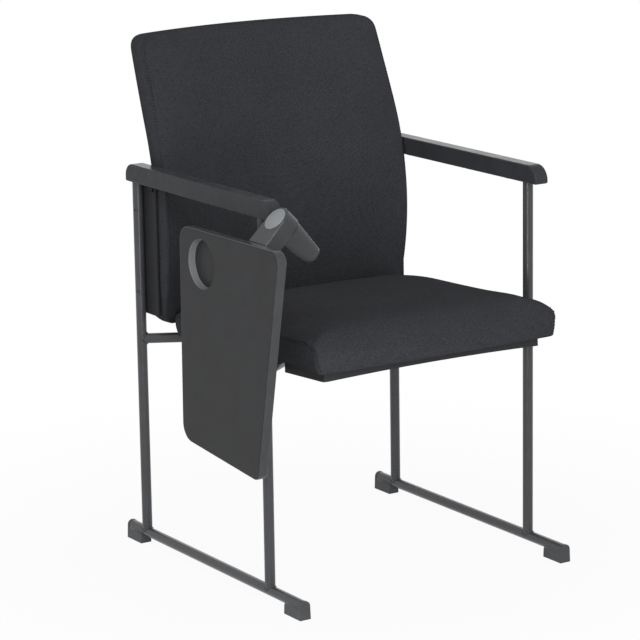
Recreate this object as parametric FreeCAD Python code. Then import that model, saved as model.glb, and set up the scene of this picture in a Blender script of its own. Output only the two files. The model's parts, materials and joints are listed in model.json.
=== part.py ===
import FreeCAD, Part
import math
import os

# Visitor chair with a folding writing tablet, in millimetres.
# +Z is up and the sitter faces -Y, so the sitter's right is -X, the tablet's side.
# The pieces are drawn about the chair's mid plane, with Y = 0 midway between the uprights,
# and moved at the end so that the origin is on the floor at the middle of the whole chair.

V = FreeCAD.Vector

# Tubes and side frames
TUBE_D = 18.0
TUBE_WALL = 2.0
SIDE_SPACING = 539.4
UPRIGHT_SPACING = 417.0
RUNNER_Z = 23.0
FRONT_OVERHANG = 109.5
REAR_OVERHANG = 56.0
BRACE_REAR_Z = 379.0
BRACE_RISE = 23.0

# Feet
FOOT_LENGTH = 50.0
FOOT_SOLE_W = 21.0
FOOT_CAP_T = 5.0
FOOT_COVER = 0.6
FOOT_CRADLE = 2.5
FOOT_PLUG = 18.0
FOOT_FIT = 0.2

# Armrests and the rails inside them
ARM_BOTTOM = 661.0
ARM_H = 32.0
ARM_W = 28.0
ARM_NOSE_OVER = 40.5
ARM_TAIL_OVER = 19.0
ARM_NOSE_R = 27.0
ARM_TAIL_R = 21.0
ARM_EDGE_R = 4.0
ARM_HEM_R = 1.5
RAIL_W = 20.0
RAIL_T = 5.0
RAIL_END = 8.0
RAIL_FIT = 0.3

# Seat cushion, in its own frame: Z = 0 on the brace axes, tilted with them
SEAT_SIDE_GAP = 26.7
SEAT_DEPTH = 501.0
SEAT_TUCK = 30.0
SEAT_LOW = 3.0
SEAT_TOP = 63.0
SEAT_CROWN = 9.0
SEAT_UNDERCUT = 10.0
SEAT_BULGE = 4.0
SEAT_NOSE_R = 45.0
SEAT_HEEL_R = 24.0
SEAT_HEM_R = 8.0
SEAT_CORNER_R = 20.0
SEAT_HEEL_CORNER_R = 44.0
SEAT_REAR_DROP = 10.0
SEAT_DROP_L = 184.0
SOFT_FIT = 0.4

# Seat pan, board and the tabs welded on the brace
PAN_SIDE_INSET = 23.0
PAN_FRONT_INSET = 28.0
PAN_REAR_INSET = 36.0
PAN_T = 4.0
PAN_FRONT_R = 8.0
PAN_REAR_R = 50.0
SKIRT_T = 3.0
SKIRT_DROP = 12.0
SKIRT_GAP = 18.0
SKIRT_ARCH = 4.0
BOARD_T = 10.0
BOARD_INSET = 4.0
TAB_L = 30.0
TAB_W = 44.0
TAB_T = 3.0
TAB_REACH = 140.0

# Backrest: the sewn front edge of its side follows an arc, then a straight lean
BACK_RISE = 28.0
BACK_H = 504.0
BACK_SIDE_GAP = 18.2
BACK_SIDE_BOW = 8.0
BACK_BOW_UP = 183.0
BACK_BOW_REACH = 300.0
LUMBAR_AHEAD = 74.5
LUMBAR_UP = 166.0
LUMBAR_R = 510.0
BACK_LEAN = 21.5
GUSSET = 43.5
GUSSET_BULGE = 3.0
BACK_HOLLOW = 36.0
BACK_CROWN = 11.0
BACK_TOP_R = 24.0
BACK_BOTTOM_R = 26.0
BACK_EDGE_R = 11.0
SHELL_T = 8.0
SHELL_INSET = 13.0
SHELL_R = 18.0

# Brackets between the rear uprights and the backrest
BRACKET_T = 3.0
BRACKET_AHEAD = 42.5
BRACKET_LOW_UP = 18.0
BRACKET_TOP_GAP = 9.0
BRACKET_R = 6.0
LUG_LOW_UP = 59.0
LUG_HIGH_UP = 205.0
LUG_H = 30.0
LUG_REACH = 46.0
LUG_GAP = 0.8

# Tablet, as it hangs outside the right armrest; places are from the pivot point
TABLET_T = 18.0
TABLET_OFFSET = 34.5
TABLET_BELOW = 36.5
TABLET_BEHIND = 225.0
TABLET_W = 319.0
TABLET_TAPER = 76.0
TABLET_REAR_H = 368.0
TABLET_FRONT_H = 394.0
TABLET_R = 30.0
TABLET_BEVEL = 2.0
CUP_D = 85.0
CUP_DEPTH = 13.0
CUP_FROM_REAR = 76.0
CUP_FROM_TOP = 56.0

# Pivot: its axis leans out, and its point is where it leaves the arm's top face
PIVOT_OUT = 20.8
PIVOT_UP = 10.5
PIVOT_TILT = 45.0
ARM_END_GAP = 6.0
SWING = 180.0
BOSS_R = 25.0
BOSS_T = 28.0
ARM_END_HALF_W = 28.0
ARM_CHAMFER = 1.5
FLANGE_T = 6.0
FLANGE_HALF_W = 42.0
FLANGE_H = 74.0
FLANGE_EDGE = 3.0
FLANGE_R = 8.0
CAP_R = 20.5
CAP_T = 3.0
CAP_RISE = 1.5
CAP_FIT = 0.2
BOLT_R = 6.0
BOLT_HEAD_R = 11.0
BOLT_HEAD_H = 8.0
BOLT_SOCKET_R = 5.0
BOLT_HEAD_FIT = 1.0
BOLT_END = 2.0
RUN_FIT = 0.05
THREAD_FIT = 0.05
FACE_FIT = 0.1
SIDE_FIT = 0.3
WASHER_R = 16.0
WASHER_T = 1.4
HOUSING_L = 69.0
HOUSING_R = 24.0
HOUSING_END_R = 17.0
HOUSING_BEVEL = 3.0
BUSH_T = 2.0
BUSH_L = 29.0
NUT_FLOOR = 2.0
NUT_BORE_FIT = 2.2
NUT_R = 10.4
NUT_H = 10.0
PLUG_L = 6.0
PIN_R = 2.0
PIN_IN = 5.5
PIN_RISE = 5.0
PIN_ROOT = 8.0
STUB_R = 8.0
STUB_DOWN = 48.0

# Sections of the soft lofts: steps round an end, and spans between the ends
END_STEPS = 4
SHELL_STEPS = 2
SEAT_SPANS = 4
BACK_SPANS = 8
SHELL_SPANS = 7

# Worked out from the sizes above
FLAT = 0.01
TUBE_R = TUBE_D / 2
SIDE_X = SIDE_SPACING / 2
UPRIGHT_Y = UPRIGHT_SPACING / 2
FRONT_TIP = UPRIGHT_Y + FRONT_OVERHANG
REAR_TIP = UPRIGHT_Y + REAR_OVERHANG
BRACE_FRONT_Z = BRACE_REAR_Z + BRACE_RISE
ARM_FRONT = UPRIGHT_Y + ARM_NOSE_OVER
ARM_REAR = UPRIGHT_Y + ARM_TAIL_OVER
RAIL_TOP = ARM_BOTTOM + RAIL_T

LUMBAR_Y = UPRIGHT_Y - LUMBAR_AHEAD
BACK_BOTTOM = BRACE_REAR_Z + BACK_RISE
BACK_TOP = BACK_BOTTOM + BACK_H
LUMBAR_Z = BACK_BOTTOM + LUMBAR_UP
BACK_HALF_W = SIDE_X - BACK_SIDE_GAP
LUG_INNER = BACK_HALF_W - LUG_REACH
LUG_ZS = (BACK_BOTTOM + LUG_LOW_UP, BACK_BOTTOM + LUG_HIGH_UP)

SEAT_PITCH = math.degrees(math.atan2(BRACE_RISE, UPRIGHT_SPACING))
SEAT_FRAME = FreeCAD.Placement(
    V(0, 0, (BRACE_FRONT_Z + BRACE_REAR_Z) / 2), FreeCAD.Rotation(V(1, 0, 0), -SEAT_PITCH))
SEAT_HALF_W = SIDE_X - SEAT_SIDE_GAP
SEAT_REAR = LUMBAR_Y + SEAT_TUCK
SEAT_FRONT = SEAT_REAR - SEAT_DEPTH
PAN_HALF_W = SEAT_HALF_W - PAN_SIDE_INSET
PAN_FRONT = SEAT_FRONT + PAN_FRONT_INSET
PAN_REAR = SEAT_REAR - PAN_REAR_INSET
SKIRT_END = -UPRIGHT_Y * PAN_HALF_W / SIDE_X - SKIRT_GAP
TAB_LOW = TUBE_R
PAN_LOW = TAB_LOW + TAB_T
BOARD_LOW = PAN_LOW + PAN_T

PIVOT_AT = V(-SIDE_X - PIVOT_OUT, -ARM_FRONT - ARM_END_GAP - BOSS_R, ARM_BOTTOM + PIVOT_UP)
PIVOT_FRAME = FreeCAD.Placement(PIVOT_AT, FreeCAD.Rotation(V(0, 1, 0), -PIVOT_TILT))
TABLET_IN = PIVOT_AT.x - TABLET_OFFSET
TABLET_OUT = TABLET_IN - TABLET_T
TABLET_TOP = PIVOT_AT.z - TABLET_BELOW
TABLET_REAR = PIVOT_AT.y + TABLET_BEHIND
TABLET_FRONT = TABLET_REAR - TABLET_W
HEAD_LOW = -(CAP_T + BOLT_HEAD_H + FACE_FIT)
HOUSING_TOP = -(BOSS_T + WASHER_T + FACE_FIT)
HOUSING_BASE = HOUSING_TOP - HOUSING_L
NUT_SEAT = HOUSING_TOP - BUSH_L - NUT_FLOOR
NUT_TOP = NUT_SEAT - FACE_FIT
NUT_BORE_R = NUT_R + NUT_BORE_FIT
PIN_AT_R = BOSS_R - PIN_IN


# Helpers

def rod(start, end, radius):
    """A round bar between two points."""
    axis = end - start
    return Part.makeCylinder(radius, axis.Length, start, axis)


def tube(start, end):
    """The chair's round tube between two points."""
    return rod(start, end, TUBE_R).cut(rod(start, end, TUBE_R - TUBE_WALL))


def post(radius, low, high):
    """A round bar about Z."""
    return Part.makeCylinder(radius, high - low, V(0, 0, low))


def box(low, high):
    """A box between two corners."""
    size = high - low
    return Part.makeBox(size.x, size.y, size.z, low)


def turned(points):
    """A solid turned about Z from the corners (radius, height) of its half section."""
    corners = [V(radius, 0, height) for radius, height in points]
    return Part.Face(Part.makePolygon(corners + corners[:1])).revolve(V(0, 0, 0), V(0, 0, 1), 360)


def hexagon(radius, low, high):
    points = [V(radius * math.cos(math.radians(a)), radius * math.sin(math.radians(a)), low)
              for a in range(0, 420, 60)]
    return Part.Face(Part.makePolygon(points)).extrude(V(0, 0, high - low))


def rounded_wire(corners):
    """A closed outline through (corner, radius) pairs, with tangent arcs at the corners."""
    turns = []
    for i, (corner, radius) in enumerate(corners):
        back = (corners[i - 1][0] - corner).normalize()
        ahead = (corners[(i + 1) % len(corners)][0] - corner).normalize()
        half = back.getAngle(ahead) / 2
        reach = radius / math.tan(half)
        depth = radius / math.sin(half) - radius
        middle = corner + (back + ahead).normalize() * depth
        turns.append((corner + back * reach, middle, corner + ahead * reach))
    edges = []
    for i, (start, middle, end) in enumerate(turns):
        edges.append(Part.Arc(start, middle, end).toShape())
        edges.append(Part.makeLine(end, turns[(i + 1) % len(turns)][0]))
    return Part.Wire(edges)


def bowed(start, end, off):
    """An arc from start to end whose middle stands off the straight line, or that line."""
    if off.Length < FLAT:
        return Part.makeLine(start, end)
    return Part.Arc(start, (start + end) / 2 + off, end).toShape()


def slab(corners, travel):
    """A plate with the outline of rounded_wire, as thick as travel is long."""
    return Part.Face(rounded_wire(corners)).extrude(travel)


def mirrored(shape):
    """The same piece on the other side of the chair."""
    return shape.mirror(V(0, 0, 0), V(1, 0, 0))


def placed(shape, frame):
    """A piece moved from its own frame into the chair's."""
    moved = shape.copy()
    moved.Placement = frame.multiply(moved.Placement)
    return moved


def ease(distance, radius):
    """How far a quarter circle of this radius draws in, at a distance from its end."""
    if distance >= radius:
        return 0.0
    return radius - math.sqrt(radius ** 2 - (radius - distance) ** 2)


def stations(start, end, start_r, end_r, steps, spans):
    """Section places from start to end, close together where the two end roundings turn."""
    turn = [math.radians(90.0 * i / steps) for i in range(steps + 1)]
    first = [start + start_r * (1 - math.cos(a)) for a in turn]
    last = [end - end_r * (1 - math.cos(a)) for a in reversed(turn)]
    step = (last[0] - first[-1]) / spans
    middle = [first[-1] + step * i for i in range(1, spans)]
    return first + middle + last


# Frame

def upright_axis(side, end):
    """Foot and top of an upright: side is -1 on the right, end is -1 at the front."""
    foot_at = V(side * SIDE_X, end * UPRIGHT_Y, RUNNER_Z)
    return foot_at, V(foot_at.x, foot_at.y, ARM_BOTTOM)


def runner_axis(side):
    return (V(side * SIDE_X, -FRONT_TIP + FOOT_CAP_T, RUNNER_Z),
            V(side * SIDE_X, REAR_TIP - FOOT_CAP_T, RUNNER_Z))


def brace_axis(side):
    """The diagonal from the rear upright on this side to the front upright on the other."""
    return (V(side * SIDE_X, UPRIGHT_Y, BRACE_REAR_Z),
            V(-side * SIDE_X, -UPRIGHT_Y, BRACE_FRONT_Z))


def runner(side):
    return tube(*runner_axis(side))


def upright(side, end):
    """A post that stands on its runner, cut to the runner's round."""
    return tube(*upright_axis(side, end)).cut(rod(*runner_axis(side), TUBE_R))


def brace(side):
    """One diagonal, coped to the uprights at both ends."""
    body = tube(*brace_axis(side))
    for ends in (upright_axis(side, 1), upright_axis(-side, -1)):
        body = body.cut(rod(*ends, TUBE_R))
    return body


def brace_halves():
    """The second diagonal, cut in two where the first one passes: front half, rear half."""
    halves = brace(1).cut(rod(*brace_axis(-1), TUBE_R)).Solids
    return sorted(halves, key=lambda solid: solid.CenterOfMass.y)


def foot(side, end):
    """A plastic foot: end cap with a round top, block under the tube, plug inside it."""
    half = FOOT_SOLE_W / 2
    top = TUBE_R + FOOT_COVER
    outline = Part.Wire([
        Part.makeLine(V(-half, 0, 0), V(half, 0, 0)),
        Part.makeLine(V(half, 0, 0), V(top, 0, RUNNER_Z)),
        Part.Arc(V(top, 0, RUNNER_Z), V(0, 0, RUNNER_Z + top), V(-top, 0, RUNNER_Z)).toShape(),
        Part.makeLine(V(-top, 0, RUNNER_Z), V(-half, 0, 0))])
    cap = Part.Face(outline).extrude(V(0, FOOT_CAP_T, 0))
    cradle_z = RUNNER_Z - TUBE_R + FOOT_CRADLE
    shoulder = half + (top - half) * cradle_z / RUNNER_Z
    block = Part.Face(Part.makePolygon([
        V(-half, FOOT_CAP_T, 0), V(half, FOOT_CAP_T, 0), V(shoulder, FOOT_CAP_T, cradle_z),
        V(-shoulder, FOOT_CAP_T, cradle_z), V(-half, FOOT_CAP_T, 0)]))
    block = block.extrude(V(0, FOOT_LENGTH - FOOT_CAP_T, 0))
    start = V(0, FOOT_CAP_T, RUNNER_Z)
    block = block.cut(rod(start, V(0, FOOT_LENGTH, RUNNER_Z), TUBE_R + FOOT_FIT))
    plug_end = start + V(0, FOOT_PLUG, 0)
    plug = rod(start, plug_end, TUBE_R - TUBE_WALL - FOOT_FIT)
    body = cap.fuse([block, plug]).removeSplitter()
    tip = FRONT_TIP if end < 0 else REAR_TIP
    turn = FreeCAD.Rotation(V(0, 0, 1), 0 if end < 0 else 180)
    return placed(body, FreeCAD.Placement(V(side * SIDE_X, end * tip, 0), turn))


# Armrests

def arm_rail(side):
    """The flat bar that joins the tops of two uprights."""
    low = V(side * SIDE_X - RAIL_W / 2, -ARM_FRONT + RAIL_END, ARM_BOTTOM)
    return box(low, V(side * SIDE_X + RAIL_W / 2, ARM_REAR - RAIL_END, RAIL_TOP))


def armrest_outline(x):
    """The armrest seen from its side: a long round nose and a shorter round tail."""
    top = ARM_BOTTOM + ARM_H
    nose = V(x, -ARM_FRONT + ARM_NOSE_R, top - ARM_NOSE_R)
    tail = V(x, ARM_REAR - ARM_TAIL_R, top - ARM_TAIL_R)
    slant = math.sqrt(0.5)
    low_front = V(x, -ARM_FRONT, ARM_BOTTOM)
    low_rear = V(x, ARM_REAR, ARM_BOTTOM)
    return Part.Wire([
        Part.makeLine(low_front, nose + V(0, -ARM_NOSE_R, 0)),
        Part.Arc(nose + V(0, -ARM_NOSE_R, 0), nose + V(0, -slant, slant) * ARM_NOSE_R,
                 nose + V(0, 0, ARM_NOSE_R)).toShape(),
        Part.makeLine(nose + V(0, 0, ARM_NOSE_R), tail + V(0, 0, ARM_TAIL_R)),
        Part.Arc(tail + V(0, 0, ARM_TAIL_R), tail + V(0, slant, slant) * ARM_TAIL_R,
                 tail + V(0, ARM_TAIL_R, 0)).toShape(),
        Part.makeLine(tail + V(0, ARM_TAIL_R, 0), low_rear),
        Part.makeLine(low_rear, low_front)])


def armrest(side):
    """A moulded bar with rounded edges, trimmed to its outline and grooved for its rail."""
    near = side * SIDE_X - ARM_W / 2
    far = side * SIDE_X + ARM_W / 2
    top = ARM_BOTTOM + ARM_H
    bar = slab([(V(near, -ARM_FRONT, ARM_BOTTOM), ARM_HEM_R), (V(far, -ARM_FRONT, ARM_BOTTOM), ARM_HEM_R),
                (V(far, -ARM_FRONT, top), ARM_EDGE_R), (V(near, -ARM_FRONT, top), ARM_EDGE_R)],
               V(0, ARM_FRONT + ARM_REAR, 0))
    body = bar.common(Part.Face(armrest_outline(near)).extrude(V(ARM_W, 0, 0)))
    half = RAIL_W / 2 + RAIL_FIT
    low = V(side * SIDE_X - half, -ARM_FRONT + RAIL_END - RAIL_FIT, ARM_BOTTOM)
    high = V(side * SIDE_X + half, ARM_REAR - RAIL_END + RAIL_FIT, RAIL_TOP + RAIL_FIT)
    return body.cut(box(low, high))


# Seat

def tab_frames():
    """Frames of the four tabs on the brace: X along the brace, Z square to the seat."""
    angle = math.degrees(math.atan2(UPRIGHT_SPACING, SIDE_SPACING))
    frames = []
    for turn in (angle, 180 - angle, 180 + angle, -angle):
        spin = FreeCAD.Rotation(V(0, 0, 1), turn)
        frames.append(FreeCAD.Placement(spin.multVec(V(TAB_REACH, 0, 0)), spin))
    return frames


def seat_tabs():
    """Steel tabs welded on top of the brace tubes, which the pan is screwed to."""
    tabs = []
    for frame in tab_frames():
        tab = box(V(-TAB_L / 2, -TUBE_R, TAB_LOW), V(TAB_L / 2, TAB_W - TUBE_R, PAN_LOW))
        tabs.append(placed(placed(tab, frame), SEAT_FRAME))
    return Part.Compound(tabs)


def pan_outline(inset, z):
    half = PAN_HALF_W - inset
    front_r = PAN_FRONT_R - inset / 2
    rear_r = PAN_REAR_R - inset
    front = PAN_FRONT + inset
    rear = PAN_REAR - inset
    return [(V(-half, front, z), front_r), (V(half, front, z), front_r),
            (V(half, rear, z), rear_r), (V(-half, rear, z), rear_r)]


def seat_pan():
    """The moulded pan: a plate, with a skirt round its front and part of its sides."""
    body = slab(pan_outline(0, PAN_LOW), V(0, 0, PAN_T))
    drop = V(0, 0, PAN_LOW + SKIRT_DROP)
    skirt = slab(pan_outline(0, -SKIRT_DROP), drop)
    skirt = skirt.cut(slab(pan_outline(SKIRT_T, -SKIRT_DROP), drop))
    skirt = skirt.cut(box(V(-SIDE_X, SKIRT_END, -SKIRT_DROP), V(SIDE_X, PAN_REAR, PAN_LOW)))
    ends = (V(-PAN_HALF_W, PAN_FRONT, -SKIRT_DROP), V(PAN_HALF_W, PAN_FRONT, -SKIRT_DROP))
    arch = Part.Arc(ends[0], V(0, PAN_FRONT, SKIRT_ARCH - SKIRT_DROP), ends[1]).toShape()
    lens = Part.Face(Part.Wire([arch, Part.makeLine(ends[1], ends[0])]))
    skirt = skirt.cut(lens.extrude(V(0, SKIRT_T, 0)))
    return placed(body.fuse(skirt).removeSplitter(), SEAT_FRAME)


def seat_board():
    return placed(slab(pan_outline(BOARD_INSET, BOARD_LOW), V(0, 0, BOARD_T)), SEAT_FRAME)


def seat_section(y):
    """Outline of the cushion across the seat: flat base, bowed gussets, crowned top."""
    ahead = y - SEAT_FRONT
    behind = SEAT_REAR - y
    half = SEAT_HALF_W - ease(ahead, SEAT_CORNER_R) - ease(behind, SEAT_HEEL_CORNER_R)
    lift = (TUBE_R + SOFT_FIT - SEAT_LOW) * min(1.0, ahead / SEAT_NOSE_R)
    low = SEAT_LOW + lift + ease(ahead, SEAT_HEM_R) + ease(behind, SEAT_HEM_R)
    sink = max(0.0, 1 - behind / SEAT_DROP_L)
    top = SEAT_TOP - SEAT_REAR_DROP * sink ** 2
    top -= ease(ahead, SEAT_NOSE_R) + ease(behind, SEAT_HEEL_R)
    base = half - SEAT_UNDERCUT
    corners = (V(-base, y, low), V(base, y, low), V(half, y, top), V(-half, y, top))
    return Part.Wire([
        Part.makeLine(corners[0], corners[1]),
        bowed(corners[1], corners[2], V(SEAT_BULGE, 0, 0)),
        bowed(corners[2], corners[3], V(0, 0, SEAT_CROWN)),
        bowed(corners[3], corners[0], V(-SEAT_BULGE, 0, 0))])


def seat_cushion():
    """The upholstered foam, hollowed below for the pan and the board."""
    places = stations(SEAT_FRONT, SEAT_REAR, SEAT_NOSE_R, SEAT_HEEL_R, END_STEPS, SEAT_SPANS)
    body = Part.makeLoft([seat_section(y) for y in places], True, True)
    depth = V(0, 0, BOARD_LOW + SKIRT_DROP + SOFT_FIT)
    body = body.cut(slab(pan_outline(-SOFT_FIT, -SKIRT_DROP), depth))
    well = slab(pan_outline(BOARD_INSET - SOFT_FIT, BOARD_LOW), V(0, 0, BOARD_T + SOFT_FIT))
    return placed(body.cut(well), SEAT_FRAME)


# Backrest

def back_front(z):
    """Y of the sewn front edge of the backrest's side, and the cosine of its lean there."""
    rise = z - LUMBAR_Z
    lean = math.radians(BACK_LEAN)
    reach = LUMBAR_R * math.sin(lean)
    if rise <= reach:
        angle = math.asin(rise / LUMBAR_R)
        return LUMBAR_Y + LUMBAR_R * (1 - math.cos(angle)), math.cos(angle)
    y = LUMBAR_Y + LUMBAR_R * (1 - math.cos(lean)) + (rise - reach) * math.tan(lean)
    return y, math.cos(lean)


def back_rear(z):
    """Y of the rear edge of the backrest's side."""
    y, lean = back_front(z)
    return y + GUSSET / lean


def back_half(z):
    """Half the width of the backrest, which bows out a little at mid height."""
    return BACK_HALF_W - BACK_SIDE_BOW * ((z - BACK_BOTTOM - BACK_BOW_UP) / BACK_BOW_REACH) ** 2


def back_rear_at(x, z):
    """Y of the rear face away from its side edge."""
    return back_rear(z) + BACK_HOLLOW * (1 - (x / back_half(z)) ** 2)


def band(half, front, front_bow, rear, rear_bow, bulge, z):
    """A level outline with bowed front and rear, and ends that bulge or are straight."""
    corners = (V(-half, front, z), V(half, front, z), V(half, rear, z), V(-half, rear, z))
    return Part.Wire([
        bowed(corners[0], corners[1], V(0, front_bow, 0)),
        bowed(corners[1], corners[2], V(bulge, 0, 0)),
        bowed(corners[2], corners[3], V(0, rear_bow, 0)),
        bowed(corners[3], corners[0], V(-bulge, 0, 0))])


def back_body():
    """The whole upholstered form, hollow to the front in plan and rounded at its edges."""
    wires = []
    for z in stations(BACK_BOTTOM, BACK_TOP, BACK_BOTTOM_R, BACK_TOP_R, END_STEPS, BACK_SPANS):
        half = back_half(z) - ease(z - BACK_BOTTOM, BACK_BOTTOM_R) - ease(BACK_TOP - z, BACK_TOP_R)
        edge = ease(min(z - BACK_BOTTOM, BACK_TOP - z), BACK_EDGE_R)
        front = back_front(z)[0] + edge
        rear = back_rear(z) - edge
        front_bow = BACK_HOLLOW - BACK_CROWN
        wires.append(band(half, front, front_bow, rear, BACK_HOLLOW, GUSSET_BULGE, z))
    return Part.makeLoft(wires, True, True)


def back_layer(front_depth, rear_depth, inset):
    """A layer of the backrest between two depths from its rear face, inset from its edges."""
    low = BACK_BOTTOM + inset
    high = BACK_TOP - inset
    wires = []
    for z in stations(low, high, SHELL_R, SHELL_R, SHELL_STEPS, SHELL_SPANS):
        half = back_half(z) - inset - ease(z - low, SHELL_R) - ease(high - z, SHELL_R)
        rear = back_rear_at(half, z)
        bow = back_rear_at(0, z) - rear
        wires.append(band(half, rear - front_depth, bow, rear - rear_depth, bow, 0, z))
    return Part.makeLoft(wires, True, True)


def back_cushion():
    """The foam with its cover, open at the rear for the shell."""
    return back_body().cut(back_layer(SHELL_T + SOFT_FIT, -GUSSET, SHELL_INSET - SOFT_FIT))


def back_shell():
    """The moulded shell that closes the backrest behind, which the lugs are screwed to."""
    return back_layer(SHELL_T, 0, SHELL_INSET)


def lug_face(z):
    """Y of the front face of a bracket lug, just clear of the shell."""
    ends = (z - LUG_H / 2, z + LUG_H / 2)
    return max(back_rear_at(LUG_INNER, end) for end in ends) + LUG_GAP


def back_bracket(side):
    """A steel strip beside the rear upright, with two lugs turned in behind the backrest."""
    outer = -SIDE_X + TUBE_R
    front = UPRIGHT_Y - BRACKET_AHEAD
    rear = UPRIGHT_Y + TUBE_R
    low = BACK_BOTTOM + BRACKET_LOW_UP
    high = ARM_BOTTOM - BRACKET_TOP_GAP
    strip = slab([(V(outer, front, low), BRACKET_R), (V(outer, rear, low), BRACKET_R),
                  (V(outer, rear, high), BRACKET_R), (V(outer, front, high), BRACKET_R)],
                 V(BRACKET_T, 0, 0))
    lugs = []
    for z in LUG_ZS:
        start = V(outer, lug_face(z), z - LUG_H / 2)
        lugs.append(box(start, V(-LUG_INNER, start.y + BRACKET_T, z + LUG_H / 2)))
    body = strip.fuse(lugs).removeSplitter()
    return body if side < 0 else mirrored(body)


# Writing tablet

def tablet_board():
    """The tablet as it hangs, with a round cup recess in its writing face."""
    x = TABLET_OUT
    front_low = V(x, TABLET_FRONT + TABLET_TAPER, TABLET_TOP - TABLET_FRONT_H)
    body = slab([(V(x, TABLET_REAR, TABLET_TOP), TABLET_R), (V(x, TABLET_FRONT, TABLET_TOP), TABLET_R),
                 (front_low, TABLET_R), (V(x, TABLET_REAR, TABLET_TOP - TABLET_REAR_H), TABLET_R)],
                V(TABLET_T, 0, 0))
    rims = [e for e in body.Edges if e.BoundBox.XLength < FLAT]
    body = body.makeChamfer(TABLET_BEVEL, rims)
    cup = V(x, TABLET_REAR - CUP_FROM_REAR, TABLET_TOP - CUP_FROM_TOP)
    return body.cut(Part.makeCylinder(CUP_D / 2, CUP_DEPTH, cup, V(1, 0, 0)))


def stop_groove():
    """The half-turn groove under the arm's boss, in which the stop pin runs."""
    half = PIN_R + SIDE_FIT
    low = -BOSS_T
    high = low + PIN_RISE
    inner = PIN_AT_R - half
    outer = PIN_AT_R + half
    profile = [V(inner, 0, low), V(outer, 0, low), V(outer, 0, high), V(inner, 0, high), V(inner, 0, low)]
    groove = Part.Face(Part.makePolygon(profile)).revolve(V(0, 0, 0), V(0, 0, 1), -SWING)
    start = Part.makeCylinder(half, PIN_RISE, V(PIN_AT_R, 0, low))
    end = start.copy()
    end.rotate(V(0, 0, 0), V(0, 0, 1), -SWING)
    return groove.fuse([start, end])


def tablet_arm():
    """The casting from the pivot to the tablet: round boss, slanted arm and screw flange."""
    reach = TABLET_OFFSET / math.cos(math.radians(PIVOT_TILT)) + BOSS_T
    end_x = -reach - FLANGE_T
    corners = (V(0, -BOSS_R, 0), V(0, BOSS_R, 0), V(end_x, ARM_END_HALF_W, 0), V(end_x, -ARM_END_HALF_W, 0))
    outline = Part.Wire([
        Part.Arc(corners[0], V(BOSS_R, 0, 0), corners[1]).toShape(),
        Part.makeLine(corners[1], corners[2]),
        Part.makeLine(corners[2], corners[3]),
        Part.makeLine(corners[3], corners[0])])
    body = Part.Face(outline).extrude(V(0, 0, -BOSS_T))
    rim = [e for e in body.Edges if e.BoundBox.ZMin > -FLAT and e.BoundBox.XMax > -reach]
    body = body.makeChamfer(ARM_CHAMFER, rim)
    body = body.cut(post(CAP_R + CAP_FIT, -CAP_T, 0))
    body = body.cut(post(BOLT_HEAD_R + BOLT_HEAD_FIT, HEAD_LOW, 0))
    body = body.cut(post(BOLT_R + THREAD_FIT, -BOSS_T, 0))
    body = placed(body.cut(stop_groove()), PIVOT_FRAME)
    room = V(2 * reach, 2 * reach, 4 * reach)
    face = V(TABLET_IN, PIVOT_AT.y, PIVOT_AT.z)
    body = body.cut(box(face - room, V(face.x, face.y + room.y, face.z + room.z)))
    high = TABLET_TOP - FLANGE_EDGE
    low = high - FLANGE_H
    near = PIVOT_AT.y - FLANGE_HALF_W
    far = PIVOT_AT.y + FLANGE_HALF_W
    flange = slab([(V(face.x, near, low), FLANGE_R), (V(face.x, far, low), FLANGE_R),
                   (V(face.x, far, high), FLANGE_R), (V(face.x, near, high), FLANGE_R)],
                  V(FLANGE_T, 0, 0))
    return body.fuse(flange).removeSplitter()


# Pivot pieces, drawn about the pivot axis with Z = 0 on the arm's top face

def pivot_cap():
    """The round cap over the bolt, a little proud of the arm."""
    return placed(post(CAP_R, -CAP_T, CAP_RISE), PIVOT_FRAME)


def pivot_bolt():
    """The socket-head bolt that turns with the arm."""
    end = NUT_TOP - NUT_H - BOLT_END
    head_top = HEAD_LOW + BOLT_HEAD_H
    body = turned([(0, end), (BOLT_R, end), (BOLT_R, HEAD_LOW), (BOLT_HEAD_R, HEAD_LOW),
                   (BOLT_HEAD_R, head_top), (0, head_top)])
    return placed(body.cut(hexagon(BOLT_SOCKET_R, head_top - BOLT_HEAD_H / 2, head_top)), PIVOT_FRAME)


def pivot_nut():
    body = hexagon(NUT_R, NUT_TOP - NUT_H, NUT_TOP)
    return placed(body.cut(post(BOLT_R + THREAD_FIT, NUT_TOP - NUT_H, NUT_TOP)), PIVOT_FRAME)


def friction_washer():
    body = post(WASHER_R, HOUSING_TOP, HOUSING_TOP + WASHER_T)
    return placed(body.cut(post(BOLT_R + SIDE_FIT, HOUSING_TOP, 0)), PIVOT_FRAME)


def stop_pin():
    body = post(PIN_R, HOUSING_TOP - PIN_ROOT, -BOSS_T + PIN_RISE - SIDE_FIT)
    body.translate(V(PIN_AT_R, 0, 0))
    return placed(body, PIVOT_FRAME)


def pivot_bush():
    bore = BOLT_R + RUN_FIT
    body = post(bore + BUSH_T, HOUSING_TOP - BUSH_L, HOUSING_TOP)
    return placed(body.cut(post(bore, HOUSING_TOP - BUSH_L, HOUSING_TOP)), PIVOT_FRAME)


def housing_body():
    """The outside of the tapered barrel, bevelled at its lower end."""
    return turned([(0, HOUSING_TOP), (HOUSING_R, HOUSING_TOP), (HOUSING_END_R, HOUSING_BASE + HOUSING_BEVEL),
                   (HOUSING_END_R - HOUSING_BEVEL, HOUSING_BASE), (0, HOUSING_BASE)])


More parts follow.
